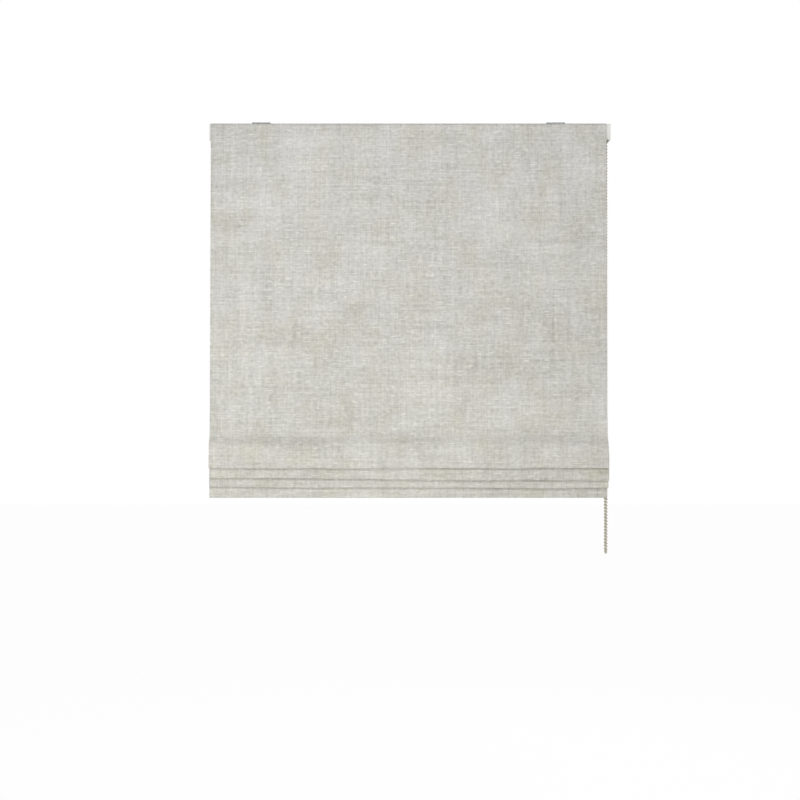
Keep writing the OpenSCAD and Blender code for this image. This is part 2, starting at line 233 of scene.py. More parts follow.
def weave(tree, place, pitch):
    """A plain weave: two waves multiplied, up where the warp is on top and down where the weft is."""
    scale = WAVE_AT_ONE / pitch
    warp = add(tree, "TexWave", {"Vector": place, "Scale": scale}, bands_direction="X")
    weft = add(tree, "TexWave", {"Vector": place, "Scale": scale}, bands_direction="Y")
    return maths(tree, "MULTIPLY", warp.outputs["Fac"], weft.outputs["Fac"])


# %% [markdown]
# The tone of the linen is the sum of its noises, from single yarns to broad clouds. Pale slubs lie over
# it, and a faint beige in patches. A beige tint that grows towards the hem is painted warm light from
# below.

# %% Linen
LINEN_TONES = [(0.1, "#AFADA5"), (0.42, "#CCCBC7"), (0.62, "#D9D8D5"), (0.95, "#F2F1EE")]
SLUB_COLOUR, BEIGE_COLOUR = "#F1F0EC", "#ECE9CE"
# The last share and the length under it set a painted warm light from below: a tint that grows towards
# the hem.
SLUB_SHARE, PATCH_SHARE, WARM_LIGHT_SHARE = 0.65, 0.3, 0.2
WARM_LIGHT_LENGTH = 800
LINEN_PITCH, CLOTH_RELIEF = 1.7, 0.0004


def linen_finish():
    """Threads, slubs and beige patches as colour, with a painted warm light that grows towards the
    hem, and single yarns with the weave as relief.
    """
    material, tree, shader = new_finish("slubbed_linen", Roughness=0.92, Specular_IOR_Level=0.2,
                                        Sheen_Weight=0.12, Sheen_Roughness=0.6)
    place = in_mm(tree, add(tree, "UVMap", uv_map="cloth").outputs["UV"])
    grain = thread_noise(tree, place, 7.6, 5.8, 11.7, detail=1.2)
    weft = thread_noise(tree, place, 110, 3.4, 3.1)
    warp = thread_noise(tree, place, 3.4, 80, 23.9)
    band = thread_noise(tree, place, 160, 26, 5.3)
    stripe = thread_noise(tree, place, 24, 210, 41.3)
    cloud = thread_noise(tree, place, 60, 50, 17.9)
    broad = thread_noise(tree, place, 330, 280, 83.7)
    weft_yarn = thread_noise(tree, place, 15, 1.0, 29.3, detail=1.0)
    warp_yarn = thread_noise(tree, place, 1.0, 15, 67.9, detail=1.0)
    tone = weighted_sum(tree, [(grain, 0.45), (weft, 0.4), (warp, 0.3), (weft_yarn, 0.28),
                               (warp_yarn, 0.28), (band, 0.2), (stripe, 0.2), (cloud, 0.2),
                               (broad, 0.32)], 0.5)
    threads = ramp(tree, tone, LINEN_TONES)
    slub = thread_noise(tree, place, 18, 2.2, 57.1, detail=0.5)
    slub = rescaled(tree, slub, 0.68, 0.8, 0, SLUB_SHARE)
    pale = add(tree, "Mix", {0: slub, 6: threads, 7: linear(SLUB_COLOUR)}, data_type="RGBA")
    patch = thread_noise(tree, place, 60, 76, 71.3, detail=4.5)
    patch = rescaled(tree, patch, 0.42, 0.75, 0, PATCH_SHARE)
    down = add(tree, "SeparateXYZ", {"Vector": place}).outputs["Y"]
    # The patches are the cloth's own; the share that grows along the cloth is painted warm light from
    # below.
    beige = maths(tree, "ADD", patch, rescaled(tree, down, 0, WARM_LIGHT_LENGTH, 0, WARM_LIGHT_SHARE))
    tinted = add(tree, "Mix", {0: beige, 6: pale.outputs[2], 7: linear(BEIGE_COLOUR)},
                 data_type="RGBA", blend_type="MULTIPLY")
    tree.links.new(tinted.outputs[2], shader.inputs["Base Color"])
    height = weighted_sum(tree, [(weave(tree, place, LINEN_PITCH), 0.6), (weft_yarn, 1.0),
                                 (warp_yarn, 1.0)], 0.5)
    add_relief(tree, shader, height, 0.5, CLOTH_RELIEF)
    return material


linen = linen_finish()
print("finish:", linen.name)

# %% [markdown]
# ### Lining, tapes and cord
# The lining is a close cotton sateen, the pocket tapes a coarser cotton, the cord a braid. They share
# one recipe: a base colour that wanders a little, a weave in the relief, and a dull surface. Only the
# lining is large enough for single threads to stand out in it.

# %% Woven finishes
STREAK_LENGTH, STREAK_WIDTH = 120, 3.2


def woven_finish(name, dark, light, pitch, patch, drift=0.9, streak=0.0, on_cloth=True, sheen=0.1):
    """Cloth of one colour with a weave of the given pitch and patches of the given size, in mm.

    drift is how much the patches differ, and streak how much single warp and weft threads stand out.
    """
    material, tree, shader = new_finish(name, Roughness=0.88, Specular_IOR_Level=0.25,
                                        Sheen_Weight=sheen)
    if on_cloth:
        place = in_mm(tree, add(tree, "UVMap", uv_map="cloth").outputs["UV"])
    else:
        place = in_mm(tree, add(tree, "TexCoord").outputs["Object"])
        upright = (np.radians(-90), 0, 0)
        place = add(tree, "Mapping", {"Vector": place, "Rotation": upright}).outputs[0]
    wide = thread_noise(tree, place, patch, patch, 2.3)
    fine = thread_noise(tree, place, 6 * pitch, 1.5 * pitch, 7.9)
    weft = thread_noise(tree, place, STREAK_LENGTH, STREAK_WIDTH, 31.3)
    warp = thread_noise(tree, place, STREAK_WIDTH, STREAK_LENGTH, 37.7)
    tone = weighted_sum(tree, [(wide, drift), (fine, 0.7), (weft, streak), (warp, streak)], 0.5)
    colour = ramp(tree, tone, [(0.15, dark), (0.85, light)])
    tree.links.new(colour, shader.inputs["Base Color"])
    height = maths(tree, "MULTIPLY_ADD", weave(tree, place, pitch), 0.7, fine)
    add_relief(tree, shader, height, 0.5, CLOTH_RELIEF)
    return material


sateen = woven_finish("cotton_sateen_lining", "#DAD3C3", "#F0EBDF", 0.7, 150, drift=0.35, streak=0.55)
pocket_cotton = woven_finish("cotton_pocket_tape", "#DED8CA", "#F2EEE4", 1.1, 25, on_cloth=False)
braid = woven_finish("braided_polyester_cord", "#D5D3CB", "#F4F3EE", 0.9, 8, on_cloth=False, sheen=0.2)
loop_pile = woven_finish("looped_tape", "#D3D2CE", "#ECEBE8", 0.8, 5, on_cloth=False, sheen=0.3)
print("woven finishes:", [m.name for m in (sateen, pocket_cotton, braid, loop_pile)])

# %% [markdown]
# ### Plastics and metals
# Moulded plastic has a fine spark texture and a soft gloss. Powder coat is like it with a little
# orange peel. Zinc plate has cloudy crystals, drawn and extruded metal has lines along its length.
# Colour and roughness follow the same noise, because a quite even surface looks drawn and not made.

# %% Hard finishes
SHADE_SIZE = 45


def shaded(tree, shader, noise, dark, light, smoothest, roughest):
    """Colour and roughness that both follow one noise, whose values lie mostly between 0.3 and 0.7."""
    tree.links.new(ramp(tree, noise, [(0.3, dark), (0.7, light)]), shader.inputs["Base Color"])
    rough = rescaled(tree, noise, 0.3, 0.7, smoothest, roughest)
    tree.links.new(rough, shader.inputs["Roughness"])


def moulded_finish(name, dark, light, grain=0.6, roughness=0.5, relief=0.00003):
    """Plastic or paint: colour that varies by a shade, with a grain of the given size in mm."""
    material, tree, shader = new_finish(name, IOR=1.49)
    source = add(tree, "TexCoord").outputs["Object"]
    wide = add(tree, "TexNoise", {"Vector": source, "Scale": 1000 / SHADE_SIZE, "Detail": 3.0})
    fine = add(tree, "TexNoise", {"Vector": source, "Scale": 1000 / grain, "Detail": 2.0})
    shaded(tree, shader, wide.outputs["Fac"], dark, light, roughness - 0.06, roughness + 0.08)
    add_relief(tree, shader, fine.outputs["Fac"], 0.4, relief)
    return material


def metal_finish(name, dark, light, grain, roughness):
    """Bare metal with a grain of given sizes in mm along X, Y and Z: long if drawn, even if plated."""
    material, tree, shader = new_finish(name, Metallic=1.0)
    source = add(tree, "TexCoord").outputs["Object"]
    spread = add(tree, "Mapping", {"Vector": source, "Scale": tuple(1000 / g for g in grain)})
    streak = add(tree, "TexNoise", {"Vector": spread.outputs[0], "Scale": 1.0, "Detail": 4.0})
    shaded(tree, shader, streak.outputs["Fac"], dark, light, roughness - 0.08, roughness + 0.1)
    add_relief(tree, shader, streak.outputs["Fac"], 0.25, 0.00005)
    return material


powder_coat = moulded_finish("white_powder_coat", "#E3E2DE", "#EDECE9", 0.9, 0.42, 0.00004)
cap_plastic = moulded_finish("white_abs", "#E2E1DC", "#EBEAE6", 0.4, 0.5)
cradle_plastic = moulded_finish("grey_acetal", "#B9BBBD", "#C6C8CA", 0.5, 0.48)
drum_plastic = moulded_finish("white_acetal", "#E6E5E2", "#EFEEEC", 0.5, 0.4)
drive_plastic = moulded_finish("charcoal_nylon", "#4A4B4E", "#5A5B5E", 0.5, 0.5)
lever_plastic = moulded_finish("white_nylon", "#E0DFDA", "#EBEAE6", 0.5, 0.46)
bead_plastic = moulded_finish("beige_acetal_beads", "#B7AF9C", "#C4BCAA", 0.7, 0.38)
ring_plastic = moulded_finish("clear_white_polyester", "#E9E8E4", "#F3F2EF", 0.8, 0.3)
fibreglass = moulded_finish("drawn_fibreglass", "#DFDDCB", "#EBE9DA", 0.3, 0.45)
hook_plastic = moulded_finish("hooked_tape", "#D6D6D3", "#E9E9E6", 0.5, 0.6, 0.0003)
thread = moulded_finish("sewing_thread", "#D9D6CB", "#ECEAE1", 0.4, 0.7)
zinc = metal_finish("zinc_plated_steel", "#9B9D9F", "#A8AAAC", (5, 5, 5), 0.42)
drawn_steel = metal_finish("drawn_steel_bar", "#B0B1B3", "#C6C7C9", (60, 0.5, 0.5), 0.3)
spring_steel = metal_finish("oiled_spring_wire", "#86878A", "#9C9DA0", (2, 2, 2), 0.35)
mill_aluminium = metal_finish("mill_finish_aluminium", "#C6C7C8", "#D9DADB", (80, 0.8, 0.8), 0.38)
print("finishes:", len(bpy.data.materials))

# %% [markdown]
# ## The line that the cloth follows
# Seen from the end, face cloth and lining follow one rounded line: down from the headrail with a
# slight lean, out at a soft crease, then three times down, up behind and over a batten, and at last
# round the bottom bar. The line is given by its corners with a bend radius at each, in millimetres.
# A cloth simulation would find folds of its own; the line puts them where this blind has them.

# %% Sizes of the cloth
HALF, LINING_HALF = 375.0, 353.0
TOP_Y, TOP_Z, RAIL_BOTTOM = -52.2, -4.0, -34.0
FRONT_Y, LEAN = -84.5, 13
LEG, RUN, TURN_BEHIND = 3.2, 2.3, 1.6
LEG_SLOPE = np.radians(52)
LEG_BEND, BEND_GROWS = 5, 0.7
FOLD_Z = (-656.0, -677.0, -693.0)
STACK_Z = (-595.0, -603.0, -611.0)
BATTEN_Z = (-163.0, -353.0, -543.0)
FACE_IN, FACE_OUT, LINING_OUT = 0.05, 0.85, 0.5
FOLD_R, TURN_R = 1.6, 1.15
CREASE_IN, CREASE_TOP, CREASE_LOW = 15.5, 61.5, 42.5
HEM_LOW, HEM_H, HEM_STRAIGHT = -711.65, 57.5, 28
HEM_DEEP, HEM_R, HEM_EDGE = 3.5, 1.75, 0.8
LINING_TUCK = 6
run_y = [FRONT_Y + ((i + 1) // 2) * LEG + (i // 2) * RUN for i in range(2 * len(FOLD_Z) + 1)]
last_y = run_y[-1]
turn_y = last_y + TURN_BEHIND
print("depth of the gathered cloth:", round(last_y - FRONT_Y, 1), "mm")

# %% [markdown]
# Behind each fold the cloth runs up, slopes back to its batten, passes over it and slopes forward
# again. All these legs have one slope, so that the layers lie on one another.

# %% Corners of the line
leg_dir = np.array([np.cos(LEG_SLOPE), np.sin(LEG_SLOPE)])
leg_side = np.array([leg_dir[1], -leg_dir[0]])


def on_leg(p, y):
    """The corner of a sloping leg through p at depth y. Its bend is wider the further forward it is."""
    return (y, p[1] - leg_dir[1] / leg_dir[0] * (p[0] - y), LEG_BEND + BEND_GROWS * (last_y - y))


def one_fold(i):
    """Down to the fold, up behind it, over its batten and down again."""
    front, back, after = run_y[2 * i:2 * i + 3]
    low = FOLD_Z[i] + FACE_OUT
    middle = np.array([turn_y, STACK_Z[i]])
    up, down = middle - TURN_R * leg_side, middle + TURN_R * leg_side
    over = [(*(side + TURN_R * leg_dir), TURN_R) for side in (up, down)]
    return [(front, low, FOLD_R), (back, low, FOLD_R), on_leg(up, back), *over, on_leg(down, after)]


panel = [(TOP_Y, TOP_Z, 0), (TOP_Y, RAIL_BOTTOM, 150), (TOP_Y - LEAN, BATTEN_Z[2], 90),
         (FRONT_Y + CREASE_IN, FOLD_Z[0] + CREASE_TOP, 30), (FRONT_Y, FOLD_Z[0] + CREASE_LOW, 24)]
folds = [corner for i in range(len(FOLD_Z)) for corner in one_fold(i)]
hem = [(last_y, HEM_LOW, HEM_R), (last_y + HEM_DEEP, HEM_LOW, HEM_R),
       (last_y + HEM_DEEP, HEM_LOW + HEM_STRAIGHT, 6), (last_y + HEM_EDGE, HEM_LOW + HEM_H, 0)]
lining_end = [(last_y, HEM_LOW + HEM_H - LINING_TUCK, 0)]
print("corners:", len(panel), "on the panel,", len(folds), "in the folds,", len(hem), "at the hem")

# %% [markdown]
# Each corner becomes an arc that touches both of its stretches. Tight arcs take longer steps in
# degrees than wide ones, and straight stretches get a point every few millimetres.

# %% Rounded line
SPACING = 7
TIGHT_R, TIGHT_STEP, WIDE_STEP = 8, 9, 3


def rounded_line(corners):
    """Straight stretches joined by arcs that touch them. Gives points, left normals and lengths."""
    c = np.array([k[:2] for k in corners])
    ways = np.diff(c, axis=0)
    ways /= np.linalg.norm(ways, axis=1)[:, None]
    points, turns, at = [c[:1]], [np.zeros(1)], c[0]
    heading = np.arctan2(ways[:, 1], ways[:, 0])
    bend = (np.diff(heading) + np.pi) % (2 * np.pi) - np.pi
    for i, (corner, angle) in enumerate(zip(corners[1:-1], bend)):
        radius = corner[2]
        start = c[i + 1] - ways[i] * radius * np.tan(abs(angle) / 2)
        straight = max(1, int(np.ceil(np.linalg.norm(start - at) / SPACING)))
        points.append(at + (start - at) * np.linspace(0, 1, straight + 1)[1:, None])
        turns.append(np.full(straight, heading[i]))
        side = np.sign(angle) * radius * np.array([-ways[i][1], ways[i][0]])
        step = TIGHT_STEP if radius < TIGHT_R else WIDE_STEP
        steps = max(3, int(np.ceil(abs(np.degrees(angle)) / step)))
        t = angle * np.linspace(0, 1, steps + 1)[1:]
        turned = np.stack([side[0] * np.cos(t) - side[1] * np.sin(t),
                           side[0] * np.sin(t) + side[1] * np.cos(t)], -1)
        points.append(start + side - turned)
        turns.append(heading[i] + t)
        at = points[-1][-1]
    straight = int(np.ceil(np.linalg.norm(c[-1] - at) / SPACING))
    points.append(at + (c[-1] - at) * np.linspace(0, 1, straight + 1)[1:, None])
    turns.append(np.full(straight, heading[-1]))
    points, turns = np.concatenate(points), np.concatenate(turns)
    turns[0] = heading[0]
    normals = np.stack([-np.sin(turns), np.cos(turns)], -1)
    lengths = np.concatenate([[0], np.cumsum(np.linalg.norm(np.diff(points, axis=0), axis=1))])
    return points, normals, lengths


face_line = rounded_line(panel + folds + hem)
lining_line = rounded_line(panel + folds + lining_end)
print("cloth line:", len(face_line[0]), "stations,", round(face_line[2][-1], 1), "mm; lining",
      round(lining_line[2][-1], 1), "mm")

# %% [markdown]
# ## How the cloth hangs
# Real cloth is never quite flat. Between two battens it stands a little forward or back in broad
# waves, and the folds hang a little out of level and out of line. Face and lining move together, and
# they stay put where the tape or a batten holds them. Sums of sines do this without random draws, so
# both sheets ask the same function and move as one.

# %% Ripples and drift
CREASE_HELD = 62
HELD_Z = np.array([RAIL_BOTTOM, *BATTEN_Z, FOLD_Z[0] + CREASE_HELD])
FOLD_TILT = (0.4, -2.9, -1.0)
FOLD_SAG = (0.5, 0.9, 0.4)
FOLD_SHIFT = np.array([0.0, 1.6, 0.9, -0.6])
FREE_H, FREE_EASE = 26, 20
SHIFT_BELOW, SHIFT_EASE = 6, 14


def over_battens():
    """Lengths along the cloth at which it passes over each batten of the stack."""
    points, _, lengths = face_line
    return np.array([lengths[np.argmin(np.hypot(*(points - (turn_y + TURN_R, s)).T))] for s in STACK_Z])


def smooth(t):
    """0 below 0, 1 above 1, and 3t^2 - 2t^3 between."""
    t = np.clip(t, 0, 1)
    return t * t * (3 - 2 * t)


def hang(x, y, z, length):
    """Moves points of the cloth, in mm: y by waves that die out at each batten, z and x at the folds."""
    gap = np.clip(np.searchsorted(-HELD_Z, -z, side="right"), 1, len(HELD_Z) - 1)
    share = np.clip((HELD_Z[gap - 1] - z) / (HELD_Z[gap - 1] - HELD_Z[gap]), 0, 1)
    waves = (0.55 * np.sin(x / 61 + 1.3 * gap) + 0.45 * np.sin(x / 27 - z / 90 + 2.1 * gap)
             + 0.5 * np.sin(x / 140 + 0.7 * gap * gap))
    y = y + waves * np.sin(np.pi * share) ** 2
    layer = np.searchsorted(FOLD_STARTS, length, side="right")
    for i in range(len(FOLD_Z)):
        hanging = (layer == i) * smooth((FOLD_Z[i] + FREE_H - z) / FREE_EASE)
        level = FOLD_TILT[i] * x / HALF - FOLD_SAG[i] * (1 - (x / HALF) ** 2)
        wander = (0.35 * np.sin(x / 37 + 2 * i) + 0.4 * np.sin(x / 71 + 3.3 * i + 0.8)
                  + 0.2 * np.sin(x / 17 + 1.1 * i))
        z = z + hanging * (level + wander)
    shift = FOLD_SHIFT[layer] * smooth((STACK_Z[2] - SHIFT_BELOW - z) / SHIFT_EASE)
    return x + shift, y, z


FOLD_STARTS = over_battens()
print("cloth passes over the gathered battens at", FOLD_STARTS.round(1), "mm")

# %% [markdown]
# ## Face cloth
# The face cloth is one sheet with a real thickness. Its edge in cross-section is a closed outline:
# the front, a rounded side where the cloth is turned back, the turned-back side hem, and the inside.
# That outline is carried along the cloth line, and the hem at the bottom goes with it. A plane with a
# thickness added would be quicker, but it could not turn its sides back over the lining.

# %% Face cloth
COLUMNS = 76
SIDE_GAP = 0.6


def sweep(line, outline):
    """Carries a closed outline of (x, distance from the line) along it. Gives points and places."""
    points, normals, lengths = line
    x, d = outline[:, 0][None, :], outline[:, 1][None, :]
    y = points[:, :1] + d * normals[:, :1]
    z = points[:, 1:] + d * normals[:, 1:]
    x, length = x + 0 * y, lengths[:, None] + 0 * y
    moved = np.stack(hang(x, y, z, length), -1) * MM
    return moved, np.stack([x, length], -1) * MM


def face_outline():
    """The front from left to right with its rounded sides, then the back from right to left."""
    middle = (LINING_OUT - FACE_OUT) / 2
    radius = (LINING_OUT + FACE_OUT) / 2
    front = np.linspace(-HALF + radius, HALF - radius, COLUMNS)
    arc = np.radians(np.linspace(-90, 0, 4)[1:])
    side_x, side_d = HALF - radius + radius * np.cos(arc), middle + radius * np.sin(arc)
    top = np.concatenate([-side_x[::-1], front, side_x])
    low = np.concatenate([side_d[::-1], np.full(COLUMNS, -FACE_OUT), side_d])
    depth = np.where(np.abs(top) > LINING_HALF + SIDE_GAP, LINING_OUT, -FACE_IN)
    back = np.where(np.abs(top) > HALF - radius, 2 * middle - low, depth)
    return np.concatenate([np.stack([top, low], -1), np.stack([top, back], -1)[::-1]])


points, places = sweep(face_line, face_outline())
face = add_piece("face_linen_sheet", points, closed_faces(*points.shape[:2]), linen, places)
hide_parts("face_cloth")

# %% [markdown]
# ## Lining
# The lining is a second, narrower sheet behind the first. It follows the same line on its other side
# and ends under the turned-up hem.

# %% Lining
def lining_outline():
    """A thin closed outline: the side against the face cloth, then the side towards the window."""
    x = np.linspace(-LINING_HALF, LINING_HALF, COLUMNS)
    near, far = np.full(COLUMNS, FACE_IN), np.full(COLUMNS, LINING_OUT)
    return np.concatenate([np.stack([x, near], -1), np.stack([x, far], -1)[::-1]])


points, places = sweep(lining_line, lining_outline())
lining = add_piece("lining_sheet", points, closed_faces(*points.shape[:2]), sateen, places)
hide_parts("lining")

# %% [markdown]
# The cloth crosses the lift: its top stays on the headrail and its folds rise and fall. Here the
# placement of each sheet is written into its points. Before it was sewn, the face cloth was wider by
# the hem that is turned back on each side.


for piece in (face, lining):
    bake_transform(piece)

# %% [markdown]
# ## Bead chain
# The chain is a loop of turned beads on a string, over the wheel at the top and free at the bottom.

# %% Loop of the chain
AXIS = np.array([-31.4, -20.75])
BEAD_R, BEAD_PITCH, STRING_R = 2.25, 6.0, 0.7
WHEEL_BEADS, JOINT_BEADS = 10, 60
CHAIN_X, CHAIN_L, CHAIN_R = 376.5, 789.0, WHEEL_BEADS * BEAD_PITCH / (2 * np.pi)
half_turn = np.pi * CHAIN_R
loop_length = 2 * (CHAIN_L + half_turn)


def on_loop(s):
    """Point at length s: down the front, round the bottom, up the back and over the wheel, in mm."""
    s = np.mod(s, loop_length)
    low = np.clip((s - CHAIN_L) / CHAIN_R, 0, np.pi)
    high = np.clip((s - 2 * CHAIN_L - half_turn) / CHAIN_R, 0, np.pi)
    angle = np.pi + low + high
    drop = np.clip(s, 0, CHAIN_L) - np.clip(s - CHAIN_L - half_turn, 0, CHAIN_L)
    return np.stack([np.full_like(s, CHAIN_X), AXIS[0] + CHAIN_R * np.cos(angle),
                     AXIS[1] - drop + CHAIN_R * np.sin(angle)], -1)


print("chain loop:", round(loop_length, 1), "mm,", round(loop_length / BEAD_PITCH), "beads")

# %% [markdown]
# A bead is a small ball of few faces, repeated along the loop; the string is a thin tube. Where the
# two ends of the chain are joined, the connector takes the place of two beads. All beads are one mesh
# with the string, because they are one piece on the real blind too.

# %% Beads and string
BEAD_RINGS, BEAD_SIDES, STRING_SIDES = 7, 10, 6
DOWN_STEPS, TURN_STEPS = 40, 14


def ball(rings, segments):
    """Unit ball as rings of points from pole to pole; the poles are rings of no size."""
    v = np.linspace(0, np.pi, rings)[:, None]
    u = np.linspace(0, 2 * np.pi, segments, endpoint=False)
    return np.stack([np.sin(v) * np.cos(u), np.sin(v) * np.sin(u), np.cos(v) + 0 * u], -1)


def ways_of(path):
    """The direction of a path at each of its points."""
    way = np.gradient(path, axis=0)
    return way / np.linalg.norm(way, axis=1)[:, None]


def tube(path, side, radius, segments):
    """A round tube about a path. Each ring starts towards side, which stands square to the path."""
    side = side / np.linalg.norm(side, axis=1)[:, None]
    other = np.cross(ways_of(path), side)
    other /= np.linalg.norm(other, axis=1)[:, None]
    u = np.linspace(0, 2 * np.pi, segments, endpoint=False)[None, :, None]
    return path[:, None, :] + radius * (np.cos(u) * side[:, None, :] + np.sin(u) * other[:, None, :])


joined_at = 2 * CHAIN_L + half_turn - JOINT_BEADS * BEAD_PITCH
bead_at = np.arange(0, loop_length - 1, BEAD_PITCH)
bead_at = bead_at[np.abs(bead_at - joined_at + BEAD_PITCH / 2) > BEAD_PITCH]
bead = ball(BEAD_RINGS, BEAD_SIDES).reshape(-1, 3) * BEAD_R
bead_points = (on_loop(bead_at)[:, None, :] + bead).reshape(-1, 3)
first_points = np.arange(len(bead_at))[:, None, None] * len(bead)
bead_faces = (first_points + grid_faces(BEAD_RINGS, BEAD_SIDES, wrap=True)).reshape(-1, 4)
down = np.linspace(0, CHAIN_L, DOWN_STEPS)
string_at = np.concatenate([down, CHAIN_L + np.linspace(1, half_turn - 1, TURN_STEPS),
                            CHAIN_L + half_turn + down,
                            loop_length - half_turn + np.linspace(1, half_turn, TURN_STEPS)])
string_path = on_loop(string_at)
string_side = np.cross(ways_of(string_path), np.array([1.0, 0.0, 0.0]))
string_points = tube(string_path, string_side, STRING_R, STRING_SIDES).reshape(-1, 3)
string_faces = closed_faces(len(string_path), STRING_SIDES) + len(bead_points)
chain = add_piece("bead_chain_loop", np.concatenate([bead_points, string_points]) * MM,
                  np.concatenate([bead_faces, string_faces]), bead_plastic)
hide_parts("bead_chain")
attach(chain, "headrail")

# %% [markdown]
# ## Lift cords
# Three braided cords lie in turns on their drums, leave at a tangent and hang straight through the
# rings down to a lock under the last row. The turns are a helix, and the end is tied in a knot. A
# curve with a round bevel would look the same; rings of points keep the number of faces small.

# %% Lift cords
CORD_X, CORD_R, WINDING_R, TURNS = 250.0, 0.8, 9.5, 8
WINDING_STEPS, FALL_STEPS, CORD_SIDES = 20, 89, 8
KNOT_SIZE, KNOT_RINGS, KNOT_SIDES = np.array([1.5, 1.5, 1.9]), 9, 10
lock_at = np.array([-55.2, -618.0])
reach = lock_at - AXIS
leave = np.arctan2(reach[1], reach[0]) - np.arccos(WINDING_R / np.linalg.norm(reach))


def lift_cord_path(x):
    """A helix of close turns about the drum, then straight from its tangent point to the lock, in mm."""
    turned = 2 * np.pi * np.linspace(TURNS, 0, TURNS * WINDING_STEPS + 1)
    angle = leave - turned
    turns = np.stack([x - turned / np.pi * CORD_R, AXIS[0] + WINDING_R * np.cos(angle),
                      AXIS[1] + WINDING_R * np.sin(angle)], -1)
    t = np.linspace(0, 1, FALL_STEPS + 1)[1:, None]
    fall = turns[-1] + t * (np.array([x, *lock_at]) - turns[-1])
    return np.concatenate([turns, fall])


def away_from_drum(path):
    """Sides that point away from the drum's axis; the straight stretch keeps the last of them."""
    way = ways_of(path)
    outward = path - np.array([0, *AXIS])
    outward[:, 0] = 0
    side = outward - (outward * way).sum(1)[:, None] * way
    side[-FALL_STEPS:] = side[-FALL_STEPS - 1]
    return side


for name, x in (("left", -CORD_X), ("middle", 0.0), ("right", CORD_X)):
    path = lift_cord_path(x)
    strand = tube(path, away_from_drum(path), CORD_R, CORD_SIDES).reshape(-1, 3)
    knot = (ball(KNOT_RINGS, KNOT_SIDES) * KNOT_SIZE + np.array([x, *lock_at])).reshape(-1, 3)
    knot_faces = grid_faces(KNOT_RINGS, KNOT_SIDES, wrap=True) + len(strand)
    faces = np.concatenate([closed_faces(len(path), CORD_SIDES), knot_faces])
    cord = add_piece("lift_cord_braid_" + name, np.concatenate([strand, knot]) * MM, faces, braid)
    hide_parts("lift_cord_" + name)
    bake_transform(cord)

# %% [markdown]
# ## Sewing
# The turned-up hem is held by a row of short hand stitches, and each side of the lining by slanting
# ones. A stitch is a tiny bowed capsule, repeated along its row. Drawn on the cloth, stitches would
# look flat from the side; as real thread they catch the light.

# %% Stitches along the hem
STITCH_R, STITCH_LIFT, STITCH_RINGS, STITCH_SIDES = 0.32, 0.2, 5, 6
HEM_REACH, HEM_PITCH, HEM_BELOW, HEM_RISE = 366, 7.0, 2.2, 0.35
HEM_STITCH = np.array([3.4, 0, 0.9])
BACKWARD = np.array([0.0, 1.0, 0.0])


def stitch_row(starts, ends):
    """A capsule from each start to its end, standing out in +Y at its middle. Gives points and quads."""
    t = np.linspace(0, 1, STITCH_RINGS)
    path = starts[:, None, :] + (ends - starts)[:, None, :] * t[None, :, None]
    path[..., 1] += STITCH_LIFT * np.sin(np.pi * t)
    size = STITCH_R * np.sqrt(np.clip(1 - (2 * t - 1) ** 4, 0.02, 1))
    way = (ends - starts) / np.linalg.norm(ends - starts, axis=1)[:, None]
    side = np.cross(way, BACKWARD)
    u = np.linspace(0, 2 * np.pi, STITCH_SIDES, endpoint=False)[None, :, None]
    ring = np.cos(u) * side[:, None, :] + np.sin(u) * BACKWARD
    points = path[:, :, None, :] + size[None, :, None, None] * ring[:, None, :, :]
    first_points = np.arange(len(starts))[:, None, None] * STITCH_RINGS * STITCH_SIDES
    faces = first_points + closed_faces(STITCH_RINGS, STITCH_SIDES)
    return points.reshape(-1, 3) * MM, faces.reshape(-1, 4)


hem_x = np.arange(-HEM_REACH, HEM_REACH + 0.1, HEM_PITCH)
hem_y = np.full_like(hem_x, last_y + HEM_EDGE + FACE_OUT + HEM_RISE)
hem_z = np.full_like(hem_x, HEM_LOW + HEM_H - HEM_BELOW)
starts = np.stack([hem_x, hem_y, hem_z], -1)
hem_stitches = add_piece("hem_stitches", *stitch_row(starts, starts + HEM_STITCH), thread)
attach(hem_stitches, "folds")

# %% [markdown]
# The stitches of the lining start just inside its edge, end just outside it on the turned-back hem, and
# stop above the gathered folds.

# %% Stitches along the lining
SIDE_PITCH, SIDE_LENGTH, SIDE_IN, SIDE_OUT = 9.0, 3.2, 0.8, 0.9
SIDE_TOP, SIDE_END, SIDE_RISE = 42, 90, 0.1


def on_back(x, length):
    """The point just behind the lining at x and at a length along the cloth, in mm."""
    points, normals, lengths = lining_line
    behind = points + (LINING_OUT + SIDE_RISE) * normals
    y, z = (np.interp(length, lengths, behind[:, k]) for k in (0, 1))
    return np.stack(hang(x, y, z, length), -1)


down_side = np.arange(SIDE_TOP, FOLD_STARTS[0] - SIDE_END, SIDE_PITCH)
side = np.repeat([-1.0, 1.0], len(down_side))
down_side = np.tile(down_side, 2)
starts = on_back(side * (LINING_HALF - SIDE_IN), down_side)
ends = on_back(side * (LINING_HALF + SIDE_OUT), down_side + SIDE_LENGTH)
side_stitches = add_piece("side_stitches", *stitch_row(starts, ends), thread)
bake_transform(side_stitches)

# %% [markdown]
# ## The rigid pieces
# Rails, drums, brackets and battens keep their solids, and each gets its finish.

# %% Finishes on the solids
FINISH_OF_SLOT = {
    "rail_coat": powder_coat, "cap_plastic": cap_plastic, "cradle_plastic": cradle_plastic,
    "drum_plastic": drum_plastic, "drive_plastic": drive_plastic, "lever_plastic": lever_plastic,
    "zinc_steel": zinc, "shaft_steel": drawn_steel, "spring_steel": spring_steel,
    "bead_plastic": bead_plastic, "ring_plastic": ring_plastic, "batten_fibreglass": fibreglass,
    "bar_metal": mill_aluminium, "hook_tape": hook_plastic, "loop_tape": loop_pile,
    "pocket_cotton": pocket_cotton, "cord_braid": braid, "face_linen": linen, "lining_cotton": sateen}
for part in frame["record"]["subparts"]:
    solid = nodes[part["node"]]
    solid.data.materials.clear()
    solid.data.materials.append(FINISH_OF_SLOT[part["material_slot"]])

